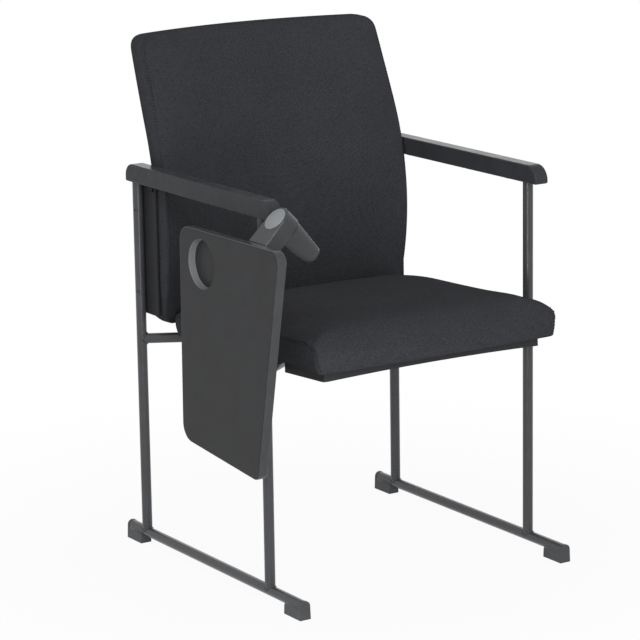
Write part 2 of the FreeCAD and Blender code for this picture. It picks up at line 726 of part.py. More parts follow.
def pivot_housing():
    """The fixed barrel: bush bore above, wider bore for the nut below."""
    body = housing_body()
    body = body.cut(post(BOLT_R + RUN_FIT + BUSH_T, HOUSING_TOP - BUSH_L, HOUSING_TOP))
    body = body.cut(post(BOLT_R + SIDE_FIT, HOUSING_BASE, HOUSING_TOP))
    body = body.cut(post(NUT_BORE_R, HOUSING_BASE, NUT_SEAT))
    socket = post(PIN_R, HOUSING_TOP - PIN_ROOT, HOUSING_TOP)
    socket.translate(V(PIN_AT_R, 0, 0))
    return placed(body.cut(socket), PIVOT_FRAME)


def pivot_end_plug():
    return placed(post(NUT_BORE_R - FACE_FIT, HOUSING_BASE, HOUSING_BASE + PLUG_L), PIVOT_FRAME)


def pivot_bracket():
    """The stub bar from the right front upright, coped to it and to the barrel."""
    end = PIVOT_FRAME.multVec(V(0, 0, -STUB_DOWN))
    body = rod(V(-SIDE_X, -UPRIGHT_Y, end.z), end, STUB_R)
    body = body.cut(rod(*upright_axis(-1, -1), TUBE_R))
    return body.cut(placed(housing_body(), PIVOT_FRAME))


# The whole chair

def build():
    """Every piece by its node name."""
    front_half, rear_half = brace_halves()
    pieces = {
        "seat_brace_main": brace(-1),
        "seat_brace_front_half": front_half,
        "seat_brace_rear_half": rear_half,
        "seat_tabs": seat_tabs(),
        "seat_pan": seat_pan(),
        "seat_board": seat_board(),
        "seat_cushion": seat_cushion(),
        "back_cushion": back_cushion(),
        "back_shell": back_shell(),
        "pivot_bracket": pivot_bracket(),
        "pivot_housing": pivot_housing(),
        "pivot_bush": pivot_bush(),
        "friction_washer": friction_washer(),
        "stop_pin": stop_pin(),
        "pivot_end_plug": pivot_end_plug(),
        "pivot_bolt": pivot_bolt(),
        "pivot_nut": pivot_nut(),
        "pivot_cap": pivot_cap(),
        "tablet_arm": tablet_arm(),
        "tablet_board": tablet_board(),
    }
    for name, side in (("right", -1), ("left", 1)):
        pieces[name + "_floor_runner"] = runner(side)
        pieces[name + "_arm_rail"] = arm_rail(side)
        pieces[name + "_armrest"] = armrest(side)
        pieces[name + "_back_bracket"] = back_bracket(side)
        for place, end in (("front", -1), ("rear", 1)):
            pieces[name + "_" + place + "_upright"] = upright(side, end)
            pieces[name + "_" + place + "_foot"] = foot(side, end)
    return pieces


def origin_shift(pieces):
    """From the drawing's origin to the middle of the whole chair's box, at floor level."""
    whole = FreeCAD.BoundBox()
    for shape in pieces.values():
        whole.add(shape.optimalBoundingBox(False))
    return V(-whole.Center.x, -whole.Center.y, 0)


os.makedirs("parts", exist_ok=True)
chair = build()
shift = origin_shift(chair)
print("origin shift", [round(value, 3) for value in shift])
for node, shape in chair.items():
    shape.translate(shift)
    shape.exportStep("parts/" + node + ".step")
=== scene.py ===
import bpy
import bmesh
import json
import math
from mathutils import Matrix, Vector


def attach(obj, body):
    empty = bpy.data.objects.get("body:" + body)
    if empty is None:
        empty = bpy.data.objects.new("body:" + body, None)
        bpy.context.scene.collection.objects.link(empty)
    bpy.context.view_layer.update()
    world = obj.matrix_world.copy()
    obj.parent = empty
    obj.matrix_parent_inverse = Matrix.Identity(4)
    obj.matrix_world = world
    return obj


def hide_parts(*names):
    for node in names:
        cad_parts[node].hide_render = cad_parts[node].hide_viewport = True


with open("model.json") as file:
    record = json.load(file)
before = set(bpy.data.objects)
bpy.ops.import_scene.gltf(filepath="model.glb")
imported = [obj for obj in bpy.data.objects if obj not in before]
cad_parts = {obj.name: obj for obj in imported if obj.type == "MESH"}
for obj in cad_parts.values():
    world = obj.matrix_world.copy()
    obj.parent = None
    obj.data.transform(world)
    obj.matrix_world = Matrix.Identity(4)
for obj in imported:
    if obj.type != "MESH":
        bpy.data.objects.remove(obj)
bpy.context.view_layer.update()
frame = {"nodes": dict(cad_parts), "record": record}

# Lengths below are in millimetres in the drawing's own frame, as in the part's source:
# X = 0 on the chair's mid plane, Y = 0 midway between the uprights, Z = 0 on the floor.
MM = 0.001
ORIGIN = Vector((29.65, 29.708, 0.0))

# Tubular frame
TUBE_R = 9.0
SIDE_X = 269.7
UPRIGHT_Y = 208.5
RUNNER_Z = 23.0
FOOT_FRONT, FOOT_REAR = -318.0, 264.5
BRACE_REAR_Z, BRACE_FRONT_Z = 379.0, 402.0
BRACE_RISE = BRACE_FRONT_Z - BRACE_REAR_Z
BRACE_MID_Z = (BRACE_REAR_Z + BRACE_FRONT_Z) / 2

# Armrests, with the radii of their corners seen from the side
ARM_LOW, ARM_TOP = 661.4, 693.0
ARM_FRONT, ARM_REAR = -249.0, 227.5
ARM_HALF_W = 13.4
ARM_EDGE = 2.6
ARM_LOW_R, ARM_REAR_R, ARM_FRONT_R = 4.0, 21.0, 27.0

# Seat, in its own frame, which slopes with the brace
SEAT_PITCH = math.atan2(BRACE_RISE, 2 * UPRIGHT_Y)
SEAT = Matrix.Translation((0, 0, BRACE_MID_Z)) @ Matrix.Rotation(-SEAT_PITCH, 4, "X")
SEAT_HALF, SEAT_FRONT, SEAT_REAR = 243.0, -337.0, 164.0
SEAT_LOW, SEAT_TOP, SEAT_CROWN = 3.0, 70.0, 6.0
SEAT_FRONT_BOW, SEAT_BOW_REACH = 8.0, 150.0
SEAT_NOSE_DEEP, SEAT_NOSE_HIGH, SEAT_NOSE_TURN = 60.0, 42.0, 45.0
SEAT_CORNER_DEEP, SEAT_CORNER_HIGH = 23.0, 25.0
SEAT_FRONT_R, SEAT_REAR_R, SEAT_HEEL_R, SEAT_RIM_R = 9.0, 44.0, 24.0, 8.0
SEAT_FALL, SEAT_FALL_REACH = 15.0, 184.0
SEAT_RISE, SEAT_RISE_REACH = 6.4, 45.0
SEAT_SEAM_OUT, SEAT_TUCK, SEAT_BULGE = 1.0, 4.0, 3.0
SHOULDER_DROP, SHOULDER_SHARE, SHOULDER_WIDTH = 15.0, 0.35, 1.3
PAN_HALF, PAN_FRONT, PAN_REAR, PAN_TOP = 220.5, -309.5, 128.5, 16.4
POCKET_GAP = 1.5

# Backrest
BACK_LOW, BACK_TOP, BACK_HALF = 407.0, 911.0, 251.5
BACK_LOW_R, BACK_TOP_R, BACK_RIM_R = 26.0, 24.0, 11.0
BACK_WAIST, BACK_WAIST_RISE, BACK_WAIST_REACH = 8.0, 183.0, 300.0
LUMBAR_Y, LUMBAR_Z, LUMBAR_R = 134.0, 573.0, 510.0
BACK_LEAN = math.radians(21.5)
GUSSET, BACK_BULGE = 43.5, 5.0
BACK_HOLLOW, BACK_CROWN = 36.0, 11.0
SHELL_INSET, SHELL_DEPTH, SHELL_CORNER_R, SHELL_RIM = 12.5, 8.4, 18.0, 2.0
SHELL_LOW, SHELL_HIGH = BACK_LOW + SHELL_INSET, BACK_TOP - SHELL_INSET

# Tablet, as ((Y, Z), radius) corners, and pivot
TABLET_X, TABLET_T = -343.0, 18.0
TABLET_EDGE = 2.8
TABLET_CORNERS = [((-60, 635), 26.0), ((-374, 637), 20.0), ((-296, 244), 15.0), ((-55, 267), 30.0)]
CUP_Y, CUP_Z, CUP_R, CUP_DEPTH = -131.0, 579.0, 41.8, 13.0
CUP_LIP, CUP_ROOT = 1.0, 1.4
PIVOT_AT = (-290.5, -280.0, 671.5)
PIVOT = Matrix.Translation(PIVOT_AT) @ Matrix.Rotation(math.radians(-45), 4, "Y")
STUB_X, STUB_Z, STUB_R = -256.56, 637.56, 8.0
CAP_PROFILE = [(19.6, -3.0), (20.5, -2.2), (20.5, 0.7), (20.2, 1.2), (19.6, 1.5), (17.6, 1.55),
               (17.0, 1.25), (16.4, 1.25), (15.9, 1.6), (8.0, 1.95), (2.0, 2.0)]

# Screws: upright tubes, lugs of the back brackets as (Z, Y), arm rails, seat pan, tablet
SCREW_R, UPRIGHT_SCREW_R, TABLET_SCREW_R = 4.5, 4.2, 4.0
UPRIGHT_SCREW_OUT, UPRIGHT_SCREW_AHEAD = 7.2, 3.9
UPRIGHT_SCREW_WAY = (0.88, -0.47)
LUG_X = 216.0
LUG_PLACES = ((466.0, 208.7), (612.0, 196.0))
RAIL_SCREW_Y, RAIL_SCREW_SUNK = 150.0, 0.4
PAN_SCREW_AT = (140.0, 22.0, 9.0)
TABLET_SCREW_X, TABLET_SCREW_YS, TABLET_SCREW_ZS = -319.0, (-314.0, -246.0), (566.0, 624.0)

# Trim: weld beads, sides of the feet as a section and (inset, distance) ends, edging of the brackets
BEAD_R, BEAD_RIPPLE, BEAD_RIPPLES = 2.0, 0.16, 18
CHEEK_SECTION = [(9.6, 16.3), (9.45, 21.6), (9.25, 22.4), (8.6, 22.6), (5.8, 16.3)]
CHEEK_ENDS = ((0.5, 4.0), (0.0, 5.0), (0.0, 48.8), (0.4, 49.7))
TRIM_X, TRIM_HALF, TRIM_R, TRIM_EDGE = 259.2, 2.2, 2.0, 0.8
TRIM_FRONT = ((161.5, 424.0), (172.0, 661.0))
TRIM_OVER = ((165.0, 646.0), (217.0, 661.0))

# Width of the broken edges of CAD nodes that stay on show
SOFT_EDGES = {"right_front_foot": 0.7, "right_rear_foot": 0.7, "left_front_foot": 0.7,
              "left_rear_foot": 0.7, "tablet_arm": 1.8, "pivot_housing": 1.0}

# Camera and floor, in metres; azimuth, elevation and roll in degrees
CAMERA_AT = (-2.72075, -4.216957, 1.5728)
CAMERA_TURN = (-32.66, 12.90, -0.90)
CAMERA_LENS, CAMERA_SENSOR = 166.05, 36.0
FLOOR_RADII = (0.5, 1.5, 5.0, 40.0)
FLOOR_DROP = 0.0005
SHADOW_NEAR, SHADOW_FAR, SHADOW_GLOW = 0.4, 1.2, 0.94
AMBIENT = 0.34


# Materials

def new_material(name):
    """A material with its node tree, shader and object coordinates."""
    mat = bpy.data.materials.new(name)
    mat.use_nodes = True
    tree = mat.node_tree
    coords = tree.nodes.new("ShaderNodeTexCoord").outputs["Object"]
    return mat, tree, tree.nodes["Principled BSDF"], coords


def speckle(tree, coords, scale, detail=2.0):
    node = tree.nodes.new("ShaderNodeTexNoise")
    node.inputs["Scale"].default_value = scale
    node.inputs["Detail"].default_value = detail
    tree.links.new(coords, node.inputs["Vector"])
    return node.outputs["Fac"]


def ramp(tree, value, low, high, dark, light):
    """A colour between dark and light, as value goes from low to high."""
    node = tree.nodes.new("ShaderNodeValToRGB")
    node.color_ramp.elements[0].position = low
    node.color_ramp.elements[0].color = (*dark, 1)
    node.color_ramp.elements[1].position = high
    node.color_ramp.elements[1].color = (*light, 1)
    tree.links.new(value, node.inputs["Fac"])
    return node.outputs["Color"]


def spread(tree, value, low, high):
    """A number between low and high, as value goes from 0.3 to 0.7."""
    node = tree.nodes.new("ShaderNodeMapRange")
    node.inputs["From Min"].default_value = 0.3
    node.inputs["From Max"].default_value = 0.7
    node.inputs["To Min"].default_value = low
    node.inputs["To Max"].default_value = high
    tree.links.new(value, node.inputs["Value"])
    return node.outputs["Result"]


def combine(tree, kind, first, second):
    node = tree.nodes.new("ShaderNodeMath")
    node.operation = kind
    for socket, value in zip(node.inputs, (first, second)):
        if isinstance(value, float):
            socket.default_value = value
        else:
            tree.links.new(value, socket)
    return node.outputs["Value"]


def mixed(tree, first, share, second, other):
    """The sum of two values, each times its share."""
    return combine(tree, "ADD", combine(tree, "MULTIPLY", first, share),
                   combine(tree, "MULTIPLY", second, other))


def relief(tree, shader, height, strength, depth):
    node = tree.nodes.new("ShaderNodeBump")
    node.inputs["Strength"].default_value = strength
    node.inputs["Distance"].default_value = depth
    tree.links.new(height, node.inputs["Height"])
    tree.links.new(node.outputs["Normal"], shader.inputs["Normal"])


def tint(colour, factor):
    return tuple(channel * factor for channel in colour)


def grained(name, colour, rough, grain=900.0, strength=0.12, mottle=0.12, gloss=0.2):
    """Moulded plastic or coated metal: a fine grain, with faint patches of tone and gloss."""
    mat, tree, shader, coords = new_material(name)
    fine = speckle(tree, coords, grain)
    broad = speckle(tree, coords, 22.0, 4.0)
    both = mixed(tree, fine, 0.5, broad, 0.5)
    colour_out = ramp(tree, both, 0.35, 0.65, tint(colour, 1 - mottle), tint(colour, 1 + mottle))
    tree.links.new(colour_out, shader.inputs["Base Color"])
    tree.links.new(spread(tree, both, rough - 0.06, rough + 0.06), shader.inputs["Roughness"])
    shader.inputs["Specular IOR Level"].default_value = gloss
    relief(tree, shader, fine, strength, 0.0004)
    return mat


def woven(name, colour):
    """Plain weave: threads both ways on every face, lighter flecks, a faint sheen."""
    mat, tree, shader, coords = new_material(name)
    threads = None
    for axis in "XYZ":
        wave = tree.nodes.new("ShaderNodeTexWave")
        wave.bands_direction = axis
        wave.inputs["Scale"].default_value = 210.0
        wave.inputs["Distortion"].default_value = 1.2
        wave.inputs["Detail"].default_value = 1.0
        tree.links.new(coords, wave.inputs["Vector"])
        line = wave.outputs["Fac"]
        threads = line if threads is None else combine(tree, "ADD", threads, line)
    fleck = speckle(tree, coords, 520.0, 3.0)
    broad = speckle(tree, coords, 14.0, 3.0)
    tone = mixed(tree, fleck, 0.88, broad, 0.12)
    tone = combine(tree, "ADD", tone, combine(tree, "MULTIPLY", threads, 0.04))
    colour_out = ramp(tree, tone, 0.38, 0.74, tint(colour, 0.72), tint(colour, 1.36))
    tree.links.new(colour_out, shader.inputs["Base Color"])
    shader.inputs["Roughness"].default_value = 0.92
    shader.inputs["Specular IOR Level"].default_value = 0.0
    shader.inputs["Sheen Weight"].default_value = 0.02
    shader.inputs["Sheen Roughness"].default_value = 0.6
    height = combine(tree, "ADD", combine(tree, "MULTIPLY", threads, 0.3), fleck)
    relief(tree, shader, height, 0.35, 0.0006)
    return mat


def brushed(name, colour, rough):
    """Plated steel with fine turning lines."""
    mat, tree, shader, coords = new_material(name)
    lines = speckle(tree, coords, 1600.0, 1.0)
    colour_out = ramp(tree, lines, 0.3, 0.7, tint(colour, 0.85), tint(colour, 1.1))
    tree.links.new(colour_out, shader.inputs["Base Color"])
    tree.links.new(spread(tree, lines, rough - 0.08, rough + 0.08), shader.inputs["Roughness"])
    shader.inputs["Metallic"].default_value = 1.0
    relief(tree, shader, lines, 0.1, 0.0002)
    return mat


def veneer(name, colour):
    """Raw plywood: long grain along the board."""
    mat, tree, shader, coords = new_material(name)
    stretch = tree.nodes.new("ShaderNodeMapping")
    stretch.inputs["Scale"].default_value = (6.0, 60.0, 400.0)
    tree.links.new(coords, stretch.inputs["Vector"])
    grain = speckle(tree, stretch.outputs["Vector"], 1.0, 6.0)
    colour_out = ramp(tree, grain, 0.3, 0.7, tint(colour, 0.7), tint(colour, 1.15))
    tree.links.new(colour_out, shader.inputs["Base Color"])
    shader.inputs["Roughness"].default_value = 0.7
    relief(tree, shader, grain, 0.2, 0.0005)
    return mat


MATERIALS = {
    "frame_paint": grained("frame_paint", (0.064, 0.066, 0.073), 0.24, 1300.0, 0.03, gloss=0.40),
    "pivot_paint": grained("pivot_paint", (0.050, 0.052, 0.055), 0.22, 1000.0, 0.03, gloss=0.28),
    "foot_plastic": grained("foot_plastic", (0.094, 0.097, 0.100), 0.30, 900.0, 0.06, gloss=0.14),
    "arm_plastic": grained("arm_plastic", (0.056, 0.058, 0.064), 0.28, 800.0, 0.02, gloss=0.06),
    "tablet_plastic": grained("tablet_plastic", (0.043, 0.044, 0.046), 0.34, 950.0, 0.06, gloss=0.07),
    "shell_plastic": grained("shell_plastic", (0.044, 0.045, 0.048), 0.48, 700.0, 0.18, gloss=0.12),
    "cap_grey": grained("cap_grey", (0.310, 0.329, 0.344), 0.36, 1200.0, 0.06, mottle=0.06, gloss=0.12),
    "upholstery": woven("upholstery", (0.053, 0.0545, 0.061)),
    "plywood": veneer("plywood", (0.55, 0.40, 0.25)),
    "zinc_steel": brushed("zinc_steel", (0.50, 0.50, 0.50), 0.36),
    "nylon": grained("nylon", (0.60, 0.60, 0.57), 0.45),
}
thread_material = grained("thread", (0.009, 0.009, 0.010), 0.8, 2500.0, 0.3, gloss=0.05)
# Darker than frame_paint: painted shade on the back brackets and their trim
bracket_shade_material = grained("bracket_painted_shade", (0.036, 0.037, 0.041), 0.42, 1300.0, 0.10, gloss=0.06)
# Lighter than tablet_plastic: a painted highlight on the tablet's edge band
tablet_edge_highlight_material = grained("tablet_edge_painted_highlight", (0.064, 0.066, 0.070), 0.22, 700.0, 0.05, gloss=0.22)
# Much lighter than tablet_plastic: a painted highlight on the wall of the cup recess
cup_wall_highlight_material = grained("cup_wall_painted_highlight", (0.250, 0.259, 0.270), 0.26, 700.0, 0.08, gloss=0.25)


# Mesh helpers

def at(point):
    """A point of the drawing's frame, in the row frame and in metres."""
    return (Vector(point) + ORIGIN) * MM


def place_mesh(bm, name, body, material, crease=None):
    """A piece of the chair from a bmesh that is already in place."""
    mesh = bpy.data.meshes.new(name)
    bm.to_mesh(mesh)
    bm.free()
    mesh.polygons.foreach_set("use_smooth", [True] * len(mesh.polygons))
    if crease is not None:
        mesh.set_sharp_from_angle(angle=math.radians(crease))
    piece = bpy.data.objects.new(name, mesh)
    bpy.context.scene.collection.objects.link(piece)
    mesh.materials.append(material)
    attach(piece, body)
    return piece


def make_object(bm, name, slot, body, crease=35.0):
    """A finished piece from a bmesh in the drawing's frame."""
    bmesh.ops.recalc_face_normals(bm, faces=bm.faces)
    for vert in bm.verts:
        vert.co = at(vert.co)
    return place_mesh(bm, name, body, MATERIALS[slot], crease)


def join_rings(bm, first, second):
    """Quads between two closed rings of vertices."""
    for i, vert in enumerate(first):
        j = (i + 1) % len(first)
        bm.faces.new((vert, first[j], second[j], second[i]))


def skin(bm, rings, ends=False):
    """Quads through closed rings of vertices, and a face on each end."""
    for first, second in zip(rings, rings[1:]):
        join_rings(bm, first, second)
    if ends:
        bm.faces.new(rings[0])
        bm.faces.new(rings[-1])


def lathe(bm, place, profile, steps, ends=False):
    """A form turned about the local Z of place, from (radius, height) points."""
    turn = [2 * math.pi * i / steps for i in range(steps)]
    rings = []
    for radius, height in profile:
        points = [Vector((radius * math.cos(a), radius * math.sin(a), height)) for a in turn]
        rings.append([bm.verts.new(place @ point) for point in points])
    skin(bm, rings, ends)


def outline(corners, inset, steps):
    """Points round a convex polygon of ((u, v), radius) corners, drawn in by inset, with round corners."""
    points = []
    count = len(corners)
    for i in range(count):
        corner, radius = Vector(corners[i][0]), corners[i][1]
        back = (Vector(corners[i - 1][0]) - corner).normalized()
        ahead = (Vector(corners[(i + 1) % count][0]) - corner).normalized()
        half = back.angle(ahead) / 2
        centre = corner + (back + ahead).normalized() * (radius / math.sin(half))
        first = corner + back * (radius / math.tan(half)) - centre
        last = corner + ahead * (radius / math.tan(half)) - centre
        sweep = first.angle_signed(last)
        scale = (radius - inset) / radius
        for k in range(steps + 1):
            points.append(centre + Matrix.Rotation(-sweep * k / steps, 2) @ first * scale)
    return points


def rounded_slab(bm, corners, low, high, edge, to_space, steps=8, hole=None):
    """A plate between two levels, its rims rounded; a round hole (centre, radius, depth) opens at high."""
    turn = [math.radians(22.5 * i) for i in range(5)]
    levels = [(edge * (1 - math.sin(a)), low + edge * (1 - math.cos(a))) for a in turn]
    levels += [(edge * (1 - math.sin(a)), high - edge * (1 - math.cos(a))) for a in reversed(turn)]
    rings = []
    for inset, level in levels:
        rings.append([bm.verts.new(to_space(u, v, level)) for u, v in outline(corners, inset, steps)])
    skin(bm, rings)
    bm.faces.new(rings[0])
    if hole is None:
        bm.faces.new(rings[-1])
        return
    (hole_u, hole_v), radius, depth = hole
    profile = [(radius + CUP_LIP * (1 - math.sin(a)), high - CUP_LIP * (1 - math.cos(a))) for a in turn]
    profile += [(radius - CUP_ROOT * (1 - math.cos(a)), high - depth + CUP_ROOT * (1 - math.sin(a)))
                for a in turn]
    angles = [2 * math.pi * i / 72 for i in range(72)]
    circles = []
    for r, level in profile:
        points = [(hole_u + r * math.cos(a), hole_v + r * math.sin(a)) for a in angles]
        circles.append([bm.verts.new(to_space(u, v, level)) for u, v in points])
    skin(bm, circles)
    bm.faces.new(circles[-1])
    rim = [bm.edges.get((loop[i], loop[i - 1])) or bm.edges.new((loop[i], loop[i - 1]))
           for loop in (rings[-1], circles[0]) for i in range(len(loop))]
    bmesh.ops.triangle_fill(bm, edges=rim, use_beauty=True)


def across_x(u, v, level):
    """A point of a plate that stands across X."""
    return Vector((level, u, v))


# Cushions: lofts of rings with a face, two sewn sides and a hidden face

FACE_STEPS = 60
SIDE_STEPS = 12
RING = 2 * (FACE_STEPS + 1) + 2 * (SIDE_STEPS - 1)
SEAM_ROWS = (0.0, 1.0, 2.8, 7.0)
STITCH_ROW = 2
RING_STEP = 9.0
CUSHION_SLACK, CUSHION_PRESSURE, CUSHION_REACH = 5.0, 4.0, 6.0
CLOTH_STEPS, SMOOTH_ROUNDS = 20, 10
SEAT_SEAM_SUNK, NOSE_SEAM_SUNK, BACK_SEAM_SUNK = (2.0, 0.0, -1.3), (1.4, 1.4, 0.0), (1.7, 1.7, 0.0)


def resample(line, rows):
    """Points at the given distances along a line of points."""
    spans = [(b - a).length for a, b in zip(line, line[1:])]
    points = []
    i, passed = 0, 0.0
    for row in rows:
        while i < len(spans) - 1 and passed + spans[i] < row:
            passed += spans[i]
            i += 1
        share = min(1.0, max(0.0, (row - passed) / max(spans[i], 1e-6)))
        points.append(line[i].lerp(line[i + 1], share))
    return points


def line_length(line):
    return sum((b - a).length for a, b in zip(line, line[1:]))


def panel(line):
    """A face panel's points, with close rows beside its two seams."""
    total = line_length(line)
    near = list(SEAM_ROWS)
    count = FACE_STEPS - 2 * len(near) + 2
    first, last = near[-1], total - near[-1]
    middle = [first + (last - first) * i / count for i in range(1, count)]
    return resample(line, near + middle + [total - row for row in reversed(near)])


def gusset(line):
    """A gusset's points from its seam, which both ends of are left to the panels."""
    total = line_length(line)
    near = [row * min(1.0, total / 40) for row in SEAM_ROWS]
    count = SIDE_STEPS - len(near) + 1
    rest = [near[-1] + (total - near[-1]) * i / count for i in range(1, count)]
    return resample(line, near[1:] + rest)


def bow(start, end, fraction, off):
    """A point on a shallow curve from start to end."""
    return start.lerp(end, fraction) + off * (4 * fraction * (1 - fraction))


def bowed_line(start, end, off, steps=80):
    return [bow(start, end, i / steps, off) for i in range(steps + 1)]


def loft_rings(rings):
    """A closed mesh through the rings, its two ends filled with grids."""
    bm = bmesh.new()
    rows = [[bm.verts.new(point) for point in ring] for ring in rings]
    skin(bm, rows)
    for row in (rows[0], rows[-1]):
        grid = [row[:FACE_STEPS + 1]]
        hidden = [row[FACE_STEPS + SIDE_STEPS + FACE_STEPS - i] for i in range(FACE_STEPS + 1)]
        for j in range(1, SIDE_STEPS):
            share = j / SIDE_STEPS
            inner = [bm.verts.new(row[i].co.lerp(hidden[i].co, share)) for i in range(1, FACE_STEPS)]
            grid.append([row[RING - j]] + inner + [row[FACE_STEPS + j]])
        grid.append(hidden)
        for lower, upper in zip(grid, grid[1:]):
            for i in range(FACE_STEPS):
                bm.faces.new((lower[i], lower[i + 1], upper[i + 1], upper[i]))
    return bm


def places(start, end, start_r, end_r, step, extra=()):
    """Ring places from start to end, close together where the two ends turn."""
    turn = [math.radians(90 * i / 10) for i in range(11)]
    values = [start + start_r * (1 - math.cos(a)) for a in turn]
    values += [end - end_r * (1 - math.cos(a)) for a in turn]
    first, last = start + start_r, end - end_r
    count = round((last - first) / step)
    values += [first + (last - first) * i / count for i in range(1, count)]
    values = [v for v in values if all(abs(v - e) > 1.2 for e in extra)] + list(extra)
    return sorted(set(round(v, 3) for v in values))


def roll(distance, deep, high):
    """How far an edge rolled over an ellipse has dropped, at a distance from its end."""
    return high * (1 - math.sqrt(1 - max(0.0, 1 - max(0.0, distance) / deep) ** 2))


def ease(distance, radius):
    return roll(distance, radius, radius)


def mirrored(points):
    return [Vector((-p.x, p.y, p.z)) for p in points]


def pocket_columns(pocket, outer):
    """X of the points of a hidden face, with a step at each side of its pocket."""
    inner = FACE_STEPS - 4
    middle = [pocket * (2 * i / inner - 1) for i in range(inner + 1)]
    return [-outer, -pocket - POCKET_GAP] + middle + [pocket + POCKET_GAP, outer]


def seat_ring(y):
    """One ring of the seat across its width: top with soft shoulders, gussets, base with the pan's pocket."""
    ahead, behind = y - SEAT_FRONT, SEAT_REAR - y
    half = SEAT_HALF - ease(ahead, SEAT_FRONT_R) - ease(behind, SEAT_REAR_R)
    nose = roll(ahead, SEAT_NOSE_DEEP, SEAT_NOSE_HIGH)
    low = SEAT_LOW + SEAT_RISE * min(1.0, ahead / SEAT_RISE_REACH)
    low += ease(ahead, SEAT_RIM_R) + ease(behind, SEAT_RIM_R)
    fall = SEAT_FALL * max(0.0, 1 - behind / SEAT_FALL_REACH) ** 2
    top = SEAT_TOP - fall - nose - ease(behind, SEAT_HEEL_R)
    drop = min(SHOULDER_DROP, SHOULDER_SHARE * (top - low))
    shoulder = SHOULDER_WIDTH * drop
    edge = half + SEAT_SEAM_OUT
    turn = [math.radians(90 * i / 12) for i in range(12)]
    left = [Vector((-edge + shoulder * (1 - math.cos(a)), y, top - drop * (1 - math.sin(a)))) for a in turn]
    right = mirrored(reversed(left))
    start, end = Vector((-edge + shoulder, y, top)), Vector((edge - shoulder, y, top))
    face = panel(left + bowed_line(start, end, Vector((0, 0, SEAT_CROWN - CUSHION_SLACK))) + right)
    base, full = half - SEAT_TUCK, SEAT_HALF - SEAT_TUCK
    right_side = gusset(bowed_line(right[-1], Vector((base, y, low)), Vector((SEAT_BULGE, 0, 0))))
    hidden = []
    for x in reversed(pocket_columns(PAN_HALF, full)):
        in_pocket = abs(x) <= PAN_HALF and PAN_FRONT <= y <= PAN_REAR
        hidden.append(Vector((x * base / full, y, PAN_TOP if in_pocket else low)))
    ring = face + right_side + hidden + mirrored(reversed(right_side))
    share = max(0.0, 1 - ahead / SEAT_BOW_REACH) ** 2
    for p in ring:
        out = min(1.0, abs(p.x) / SEAT_HALF)
        lift = (nose - roll(ahead, SEAT_CORNER_DEEP, SEAT_CORNER_HIGH)) * out ** 2
        p.z += lift * min(1.0, max(0.0, (p.z - low) / (top - low)))
        p.y += SEAT_FRONT_BOW * share * out ** 2
    return ring


def back_front(z):
    """Y of the sewn front edge of the backrest, and the cosine of its lean."""
    rise = z - LUMBAR_Z
    reach = LUMBAR_R * math.sin(BACK_LEAN)
    if rise <= reach:
        angle = math.asin(rise / LUMBAR_R)
        return LUMBAR_Y + LUMBAR_R * (1 - math.cos(angle)), math.cos(angle)
    y = LUMBAR_Y + LUMBAR_R * (1 - math.cos(BACK_LEAN)) + (rise - reach) * math.tan(BACK_LEAN)
    return y, math.cos(BACK_LEAN)


def back_wide(z):
    """Half the width of the backrest, which bows out a little at mid height."""
    return BACK_HALF - BACK_WAIST * ((z - BACK_LOW - BACK_WAIST_RISE) / BACK_WAIST_REACH) ** 2


def back_ring(z):
    """One level ring of the backrest: hollow front, gussets, rear with the shell's pocket."""
    half = back_wide(z) - ease(z - BACK_LOW, BACK_LOW_R) - ease(BACK_TOP - z, BACK_TOP_R)
    edge = ease(min(z - BACK_LOW, BACK_TOP - z), BACK_RIM_R)
    y, lean = back_front(z)
    front, rear = y + edge, y + GUSSET / lean - edge
    left_seam, right_seam = Vector((-half, front, z)), Vector((half, front, z))
    hollow = Vector((0, BACK_HOLLOW - BACK_CROWN + CUSHION_SLACK, 0))
    face = panel(bowed_line(left_seam, right_seam, hollow))
    right_side = gusset(bowed_line(right_seam, Vector((half, rear, z)), Vector((BACK_BULGE, 0, 0))))
    level = min(max(z, SHELL_LOW), SHELL_HIGH)
    pocket = back_wide(z) - SHELL_INSET
    pocket -= ease(level - SHELL_LOW, SHELL_CORNER_R) + ease(SHELL_HIGH - level, SHELL_CORNER_R)
    pocket = min(pocket, half - SHELL_RIM)
    hidden = []
    for x in reversed(pocket_columns(pocket, half)):
        depth = rear + BACK_HOLLOW * (1 - (x / half) ** 2)
        in_pocket = SHELL_LOW <= z <= SHELL_HIGH and abs(x) <= pocket
        hidden.append(Vector((x, depth - (SHELL_DEPTH if in_pocket else 0.0), z)))
    return face + right_side + hidden + mirrored(reversed(right_side))


def swell(piece, held):
    """Blows up the free panels of a cushion with a cloth simulation, each point within a short reach."""
    start = [vert.co.copy() for vert in piece.data.vertices]
    group = piece.vertex_groups.new(name="held")
    group.add(held, 1.0, "REPLACE")
    cloth = piece.modifiers.new("swell", "CLOTH")
    cloth.settings.quality = 5
    cloth.settings.mass = 0.3
    cloth.settings.tension_stiffness = 20.0
    cloth.settings.compression_stiffness = 20.0
    cloth.settings.bending_stiffness = 1.0
    cloth.settings.vertex_group_mass = "held"
    cloth.settings.use_pressure = True
    cloth.settings.uniform_pressure_force = CUSHION_PRESSURE
    cloth.settings.effector_weights.gravity = 0.0
    scene = bpy.context.scene
    for step in range(1, CLOTH_STEPS + 1):
        scene.frame_set(step)
    blown = piece.evaluated_get(bpy.context.evaluated_depsgraph_get()).data
    for vert, before, after in zip(piece.data.vertices, start, blown.vertices):
        move = after.co - before
        vert.co = before + move * min(1.0, CUSHION_REACH * MM / max(move.length, 1e-9))
    piece.modifiers.remove(cloth)
    piece.vertex_groups.remove(group)
    scene.frame_set(1)


